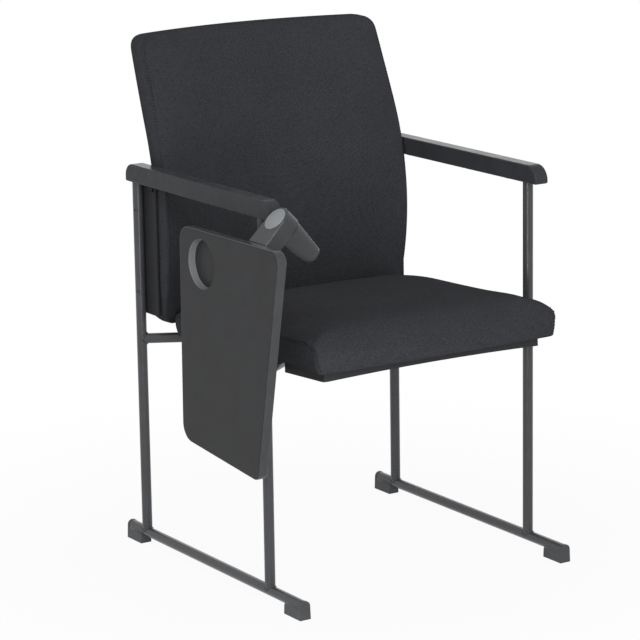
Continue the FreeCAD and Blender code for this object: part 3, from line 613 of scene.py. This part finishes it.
def smooth_free(piece, held):
    """Evens out the free points of a cushion."""
    bm = bmesh.new()
    bm.from_mesh(piece.data)
    bm.verts.ensure_lookup_table()
    fixed = set(held)
    free = [vert for vert in bm.verts if vert.index not in fixed]
    for _ in range(SMOOTH_ROUNDS):
        bmesh.ops.smooth_vert(bm, verts=free, factor=0.5,
                              use_axis_x=True, use_axis_y=True, use_axis_z=True)
    bm.to_mesh(piece.data)
    bm.free()


def cushion(name, node, rings, body, inward):
    """An upholstered piece in place of a CAD cushion, blown up between its seams."""
    piece = make_object(loft_rings(rings), name, "upholstery", body, 70.0)
    rows = range(0, RING * len(rings), RING)
    seams = [row + column for row in rows for column in (0, FACE_STEPS)]
    hidden = FACE_STEPS + SIDE_STEPS
    held = seams + [row + column for row in rows for column in range(hidden, hidden + FACE_STEPS + 1)]
    held += range(RING * len(rings), len(piece.data.vertices))
    held += list(range(RING)) + list(range(rows[-1], rows[-1] + RING))
    swell(piece, held)
    beside = [(column + offset) % RING for column in (0, FACE_STEPS) for offset in (-2, -1, 1, 2)]
    smooth_free(piece, held + [row + column for row in rows for column in beside])
    sink_seams(piece, seams, Vector(inward) * MM)
    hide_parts(node)
    return piece


def sink_seams(piece, seams, inward):
    """Draws the seam lines of both sides into the cushion and keeps them sharp."""
    for i in seams:
        spot = piece.data.vertices[i].co
        side = 1 if spot.x < ORIGIN.x * MM else -1
        piece.data.vertices[i].co = spot + Vector((side * inward.x, inward.y, inward.z))
    sunk = set(seams)
    crease = piece.data.edge_creases_ensure()
    for edge in piece.data.edges:
        if sunk.issuperset(edge.vertices):
            crease.data[edge.index].value = 1.0


def seam_stitches(name, piece, count, body, nose=False):
    """Rows of stitches beside the two seams of a cushion, on its face and on its gusset."""
    bm = bmesh.new()
    verts = piece.data.vertices
    for column in (STITCH_ROW, FACE_STEPS - STITCH_ROW, FACE_STEPS + STITCH_ROW, RING - STITCH_ROW):
        path = [verts[i * RING + column] for i in range(3, count - 2)]
        if nose and column > FACE_STEPS:
            down = 1 if column < RING / 2 else -1
            below = range(SIDE_STEPS - STITCH_ROW - 1, -1, -1)
            path = [verts[2 * RING + column + down * j] for j in below] + path
        add_stitches(bm, [v.co.copy() for v in path], [v.normal.copy() for v in path])
    place_mesh(bm, name, body, thread_material)


def add_stitches(bm, path, normals, length=0.0036, gap=0.0020, thick=0.00055, sunk=0.0003):
    """Short tapered stitches along a path of points, half sunk in the cloth."""
    spans = [(b - a).length for a, b in zip(path, path[1:])]
    total = sum(spans)
    place = gap
    while place + length < total:
        ends = [point_on(path, normals, spans, place + length * share) for share in (0.0, 0.2, 0.8, 1.0)]
        along = (ends[3][0] - ends[0][0]).normalized()
        rings = []
        for (point, normal), size in zip(ends, (0.35, 1.0, 1.0, 0.35)):
            across = along.cross(normal).normalized()
            sides = [across * math.cos(a) + normal * math.sin(a) for a in (k * math.pi / 3 for k in range(6))]
            rings.append([bm.verts.new(point - normal * sunk + side * thick * size) for side in sides])
        skin(bm, rings, True)
        place += length + gap
    bmesh.ops.recalc_face_normals(bm, faces=bm.faces)


def point_on(path, normals, spans, distance):
    """The point and the normal at a distance along a path."""
    for i, span in enumerate(spans):
        if distance <= span:
            share = distance / span
            return path[i].lerp(path[i + 1], share), normals[i].lerp(normals[i + 1], share).normalized()
        distance -= span
    return path[-1], normals[-1]


seat_places = places(SEAT_FRONT, SEAT_REAR, SEAT_NOSE_TURN, SEAT_HEEL_R, RING_STEP,
                     (PAN_FRONT - POCKET_GAP, PAN_FRONT, PAN_REAR, PAN_REAR + POCKET_GAP))
seat_rings = [[SEAT @ point for point in seat_ring(y)] for y in seat_places]
seat = cushion("seat_upholstery", "seat_cushion", seat_rings, "chair_frame", SEAT_SEAM_SUNK)
nose_seams = [column for side in (FACE_STEPS + 1, RING - SIDE_STEPS + 1)
              for column in range(side, side + SIDE_STEPS - 1)]
sink_seams(seat, nose_seams, Vector(NOSE_SEAM_SUNK) * MM)
seam_stitches("seat_stitches", seat, len(seat_rings), "chair_frame", True)
back_places = places(BACK_LOW, BACK_TOP, BACK_LOW_R, BACK_TOP_R, RING_STEP,
                     (SHELL_LOW - POCKET_GAP, SHELL_LOW, SHELL_HIGH, SHELL_HIGH + POCKET_GAP))
back_rings = [back_ring(z) for z in back_places]
back = cushion("back_upholstery", "back_cushion", back_rings, "chair_frame", BACK_SEAM_SUNK)
seam_stitches("back_stitches", back, len(back_rings), "chair_frame")
for pad in (seat, back):
    pad.modifiers.new("fine", "SUBSURF").levels = 1
    pad.modifiers["fine"].render_levels = 1


# Armrests, tablet and the pivot's cap

def even_shading(piece):
    """Keeps the flat faces of a piece flat beside its rounded edges."""
    piece.modifiers.new("shade", "WEIGHTED_NORMAL").keep_sharp = True


def armrest(name, node, side):
    bm = bmesh.new()
    corners = [((ARM_FRONT, ARM_LOW), ARM_LOW_R), ((ARM_REAR, ARM_LOW), ARM_LOW_R),
               ((ARM_REAR, ARM_TOP), ARM_REAR_R), ((ARM_FRONT, ARM_TOP), ARM_FRONT_R)]
    rounded_slab(bm, corners, side * SIDE_X - ARM_HALF_W, side * SIDE_X + ARM_HALF_W, ARM_EDGE, across_x)
    piece = make_object(bm, name, "arm_plastic", "chair_frame")
    even_shading(piece)
    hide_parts(node)


def tablet():
    """The tablet, with painted highlights on its edge band and on the wall of its cup recess, as materials 1
    and 2.
    """
    bm = bmesh.new()
    rounded_slab(bm, TABLET_CORNERS, -(TABLET_X + TABLET_T), -TABLET_X, TABLET_EDGE,
                 lambda u, v, level: Vector((-level, u, v)), 10, ((CUP_Y, CUP_Z), CUP_R, CUP_DEPTH))
    # Faces off the flat sides take painted highlights: the edge band as material 1, the cup's wall as
    # material 2
    for face in bm.faces:
        face.normal_update()
        if abs(face.normal.x) < 0.7:
            in_cup = (Vector((CUP_Y, CUP_Z)) - face.calc_center_median().yz).length < CUP_R + 3
            face.material_index = 2 if in_cup else 1
    piece = make_object(bm, "writing_tablet", "tablet_plastic", "tablet")
    piece.data.materials.append(tablet_edge_highlight_material)
    piece.data.materials.append(cup_wall_highlight_material)
    even_shading(piece)
    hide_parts("tablet_board")


def cap():
    bm = bmesh.new()
    lathe(bm, PIVOT, CAP_PROFILE, 64, True)
    piece = make_object(bm, "pivot_disc", "cap_grey", "tablet")
    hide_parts("pivot_cap")


armrest("right_arm_pad", "right_armrest", -1)
armrest("left_arm_pad", "left_armrest", 1)
tablet()
cap()


# Screws, weld beads and trim

def facing(point, direction):
    """A frame at a point with its Z along a direction."""
    return Matrix.Translation(point) @ Vector(direction).to_track_quat("Z", "Y").to_matrix().to_4x4()


def screw(bm, place, radius):
    """A domed head with a hexagon socket, sunk 2 mm into what it holds."""
    rise = 0.62 * radius
    dome = [(radius, -2.0), (radius, 0.25 * rise), (0.93 * radius, 0.55 * rise),
            (0.75 * radius, 0.85 * rise), (0.5 * radius, rise)]
    socket = [(0.5 * radius, rise), (0.46 * radius, 0.9 * rise), (0.46 * radius, 0.35 * rise),
              (0.02, 0.3 * rise)]
    lathe(bm, place, dome, 24)
    lathe(bm, place, socket, 6)


def frame_screws():
    bm = bmesh.new()
    out, ahead = UPRIGHT_SCREW_WAY
    for side in (-1, 1):
        for z, lug_y in LUG_PLACES:
            spot = (side * (SIDE_X + UPRIGHT_SCREW_OUT), UPRIGHT_Y - UPRIGHT_SCREW_AHEAD, z)
            screw(bm, facing(spot, (side * out, ahead, 0)), UPRIGHT_SCREW_R)
            screw(bm, facing((side * LUG_X, lug_y, z), (0, 1, 0)), SCREW_R)
        for y in (-RAIL_SCREW_Y, RAIL_SCREW_Y):
            screw(bm, facing((side * SIDE_X, y, ARM_LOW - RAIL_SCREW_SUNK), (0, 0, -1)), SCREW_R)
    angle = math.atan2(2 * UPRIGHT_Y, 2 * SIDE_X)
    for turn in (angle, math.pi - angle, math.pi + angle, -angle):
        spot = Matrix.Rotation(turn, 4, "Z") @ Vector(PAN_SCREW_AT)
        screw(bm, facing(SEAT @ spot, SEAT.to_3x3() @ Vector((0, 0, -1))), SCREW_R)
    make_object(bm, "frame_screws", "frame_paint", "chair_frame")


def tablet_screws():
    bm = bmesh.new()
    for y in TABLET_SCREW_YS:
        for z in TABLET_SCREW_ZS:
            screw(bm, facing((TABLET_SCREW_X, y, z), (1, 0, 0)), TABLET_SCREW_R)
    make_object(bm, "tablet_screws", "pivot_paint", "tablet")


def weld(bm, centre, onto, away, radius=TUBE_R, steps=72):
    """A rippled bead where a tube that runs away meets the tube it is welded onto."""
    onto, away = Vector(onto).normalized(), Vector(away).normalized()
    across = onto.cross(away).normalized()
    level = across.cross(away).normalized()
    square = (away - onto * away.dot(onto)).normalized()
    rings = []
    for i in range(steps):
        a = 2 * math.pi * i / steps
        flat = level * radius * math.cos(a)
        depth = TUBE_R * math.sqrt(max(0.0, 1 - (radius / TUBE_R * math.sin(a)) ** 2))
        reach = (depth - flat.dot(square)) / away.dot(square)
        point = Vector(centre) + flat + across * radius * math.sin(a) + away * reach
        outward = (flat + across * radius * math.sin(a)).normalized()
        bead = BEAD_R * (1.0 + BEAD_RIPPLE * math.sin(BEAD_RIPPLES * a))
        sides = [outward * math.cos(b) + away * math.sin(b) for b in (k * math.pi / 4 for k in range(8))]
        rings.append([bm.verts.new(point + side_dir * bead) for side_dir in sides])
    for i, ring in enumerate(rings):
        join_rings(bm, ring, rings[(i + 1) % steps])


def weld_beads():
    bm = bmesh.new()
    for side in (-1, 1):
        for end in (-1, 1):
            weld(bm, (side * SIDE_X, end * UPRIGHT_Y, RUNNER_Z), (0, 1, 0), (0, 0, 1))
            rear = Vector((side * SIDE_X, UPRIGHT_Y, BRACE_REAR_Z))
            front = Vector((-side * SIDE_X, -UPRIGHT_Y, BRACE_FRONT_Z))
            weld(bm, rear if end > 0 else front, (0, 0, 1), (front - rear) * end)
    main = Vector((2 * SIDE_X, -2 * UPRIGHT_Y, BRACE_RISE))
    half = Vector((-2 * SIDE_X, -2 * UPRIGHT_Y, BRACE_RISE))
    crossing = (0, 0, BRACE_MID_Z)
    weld(bm, crossing, main, half)
    weld(bm, crossing, main, -half)
    stub = Vector((-SIDE_X, -UPRIGHT_Y, STUB_Z))
    weld(bm, stub, (0, 0, 1), Vector((STUB_X, PIVOT_AT[1], STUB_Z)) - stub, STUB_R)
    make_object(bm, "weld_beads", "frame_paint", "chair_frame", 60.0)


def foot_cheeks():
    """The sides of the feet, which close in on the floor tube above the block."""
    bm = bmesh.new()
    for side in (-1, 1):
        for tip, way in ((FOOT_FRONT, 1), (FOOT_REAR, -1)):
            for cheek in (-1, 1):
                rings = []
                for inset, y in CHEEK_ENDS:
                    points = [(side * SIDE_X + cheek * (u - inset), tip + way * y, v - inset)
                              for u, v in CHEEK_SECTION]
                    rings.append([bm.verts.new(point) for point in points])
                skin(bm, rings, True)
    make_object(bm, "foot_cheeks", "foot_plastic", "chair_frame")


def bracket_trim():
    """Edging on the back brackets: along the front edge, and over the top up to the armrest."""
    bm = bmesh.new()
    for side in (-1, 1):
        for (y_low, z_low), (y_high, z_high) in (TRIM_FRONT, TRIM_OVER):
            corners = [((y_low, z_low), TRIM_R), ((y_high, z_low), TRIM_R),
                       ((y_high, z_high), TRIM_R), ((y_low, z_high), TRIM_R)]
            rounded_slab(bm, corners, side * TRIM_X - TRIM_HALF, side * TRIM_X + TRIM_HALF, TRIM_EDGE,
                         across_x, 4)
    piece = make_object(bm, "bracket_trim", "frame_paint", "chair_frame")
    # The trim takes the brackets' darker paint: painted shade
    piece.data.materials[0] = bracket_shade_material


def soften(node, width):
    """Breaks the sharp edges of a CAD node that stays on show."""
    piece = frame["nodes"][node]
    piece.modifiers.new("weld", "WELD").merge_threshold = 0.00002
    bevel = piece.modifiers.new("edge", "BEVEL")
    bevel.width = width * MM
    bevel.segments = 2
    bevel.limit_method = "ANGLE"
    bevel.angle_limit = math.radians(40)
    piece.modifiers.new("shade", "WEIGHTED_NORMAL")


frame_screws()
tablet_screws()
weld_beads()
foot_cheeks()
bracket_trim()
for node, edge_width in SOFT_EDGES.items():
    soften(node, edge_width)

# CAD nodes that stay on show take their slot's material; the back brackets take a darker paint instead, as
# painted shade
for part in frame["record"]["subparts"]:
    cad_mesh = frame["nodes"][part["node"]].data
    cad_mesh.materials.clear()
    bracket = part["node"].endswith("back_bracket")
    cad_mesh.materials.append(bracket_shade_material if bracket else MATERIALS[part["material_slot"]])


# Studio

def studio_floor():
    """A pale floor that the camera sees as white away from the chair, with the chair's shadow near it."""
    bm = bmesh.new()
    rings = []
    turn = [i * math.pi / 24 for i in range(48)]
    for radius in FLOOR_RADII:
        rings.append([bm.verts.new((radius * math.cos(a), radius * math.sin(a), 0)) for a in turn])
    bm.faces.new(rings[0])
    skin(bm, rings)
    bmesh.ops.recalc_face_normals(bm, faces=bm.faces)
    mesh = bpy.data.meshes.new("studio_floor")
    bm.to_mesh(mesh)
    bm.free()
    floor = bpy.data.objects.new("studio_floor", mesh)
    floor.location.z = -FLOOR_DROP
    bpy.context.scene.collection.objects.link(floor)
    mesh.materials.append(floor_material())


def seen_directly(tree):
    """1 for camera, glossy and transmission rays."""
    path = tree.nodes.new("ShaderNodeLightPath")
    seen = combine(tree, "MAXIMUM", path.outputs["Is Camera Ray"], path.outputs["Is Glossy Ray"])
    return combine(tree, "MAXIMUM", seen, path.outputs["Is Transmission Ray"])


def floor_material():
    mat, tree, shader, coords = new_material("studio_floor")
    shader.inputs["Base Color"].default_value = (0.86, 0.86, 0.86, 1)
    shader.inputs["Roughness"].default_value = 0.9
    away = tree.nodes.new("ShaderNodeVectorMath")
    away.operation = "LENGTH"
    tree.links.new(coords, away.inputs[0])
    fade = tree.nodes.new("ShaderNodeMapRange")
    fade.inputs["From Min"].default_value = SHADOW_NEAR
    fade.inputs["From Max"].default_value = SHADOW_FAR
    fade.inputs["To Min"].default_value = SHADOW_GLOW
    tree.links.new(away.outputs["Value"], fade.inputs["Value"])
    glow = tree.nodes.new("ShaderNodeEmission")
    mix = tree.nodes.new("ShaderNodeMixShader")
    tree.links.new(combine(tree, "MULTIPLY", seen_directly(tree), fade.outputs["Result"]), mix.inputs["Fac"])
    tree.links.new(shader.outputs["BSDF"], mix.inputs[1])
    tree.links.new(glow.outputs["Emission"], mix.inputs[2])
    tree.links.new(mix.outputs["Shader"], tree.nodes["Material Output"].inputs["Surface"])
    return mat


def studio_world():
    world = bpy.data.worlds.new("studio")
    world.use_nodes = True
    tree = world.node_tree
    sky = tree.nodes["Background"]
    sky.inputs["Color"].default_value = (1, 1, 1, 1)
    level = tree.nodes.new("ShaderNodeMapRange")
    level.inputs["To Min"].default_value = AMBIENT
    level.inputs["To Max"].default_value = 1.0
    tree.links.new(seen_directly(tree), level.inputs["Value"])
    tree.links.new(level.outputs["Result"], sky.inputs["Strength"])
    bpy.context.scene.world = world


def softbox(name, place, aim, size, watts):
    data = bpy.data.lights.new(name, "AREA")
    data.shape = "RECTANGLE"
    data.size, data.size_y = size
    data.energy = watts
    lamp = bpy.data.objects.new(name, data)
    lamp.location = place
    lamp.rotation_euler = (Vector(aim) - Vector(place)).to_track_quat("-Z", "Y").to_euler()
    lamp.visible_camera = False
    bpy.context.scene.collection.objects.link(lamp)


def photo_camera():
    """The photograph's camera, solved from the chair's level edges."""
    azimuth, elevation, tilt = (math.radians(angle) for angle in CAMERA_TURN)
    back_axis = Vector((math.sin(azimuth) * math.cos(elevation),
                        -math.cos(azimuth) * math.cos(elevation), math.sin(elevation)))
    level_right = (-back_axis).cross(Vector((0, 0, 1))).normalized()
    level_up = level_right.cross(-back_axis)
    right = level_right * math.cos(tilt) + level_up * math.sin(tilt)
    up = level_up * math.cos(tilt) - level_right * math.sin(tilt)
    data = bpy.data.cameras.new("photo_camera")
    data.lens = CAMERA_LENS
    data.sensor_width = CAMERA_SENSOR
    data.clip_end = 100.0
    camera = bpy.data.objects.new("photo_camera", data)
    turn = Matrix((right, up, back_axis)).transposed().to_4x4()
    camera.matrix_world = Matrix.Translation(CAMERA_AT) @ turn
    bpy.context.scene.collection.objects.link(camera)
    bpy.context.scene.camera = camera


studio_floor()
studio_world()
softbox("front_light", (-1.2, -3.7, 2.0), (0, 0, 0.6), (2.0, 1.6), 38)
softbox("high_light", (-1.55, -1.87, 2.85), (-0.2, -0.2, 0.6), (0.5, 0.5), 8)
softbox("low_light", (-0.95, -1.48, 0.38), (0, 0, 0.38), (0.25, 0.7), 4.5)
softbox("left_light", (-3.6, -0.6, 2.0), (0, 0, 0.5), (1.0, 2.0), 16)
softbox("top_light", (-0.2, 0.0, 3.2), (0, 0, 0.5), (2.4, 2.4), 5)
softbox("rear_light", (1.9, 3.0, 1.45), (0, 0, 0.6), (2.2, 0.9), 5)
photo_camera()
bpy.context.scene.view_settings.view_transform = "Standard"
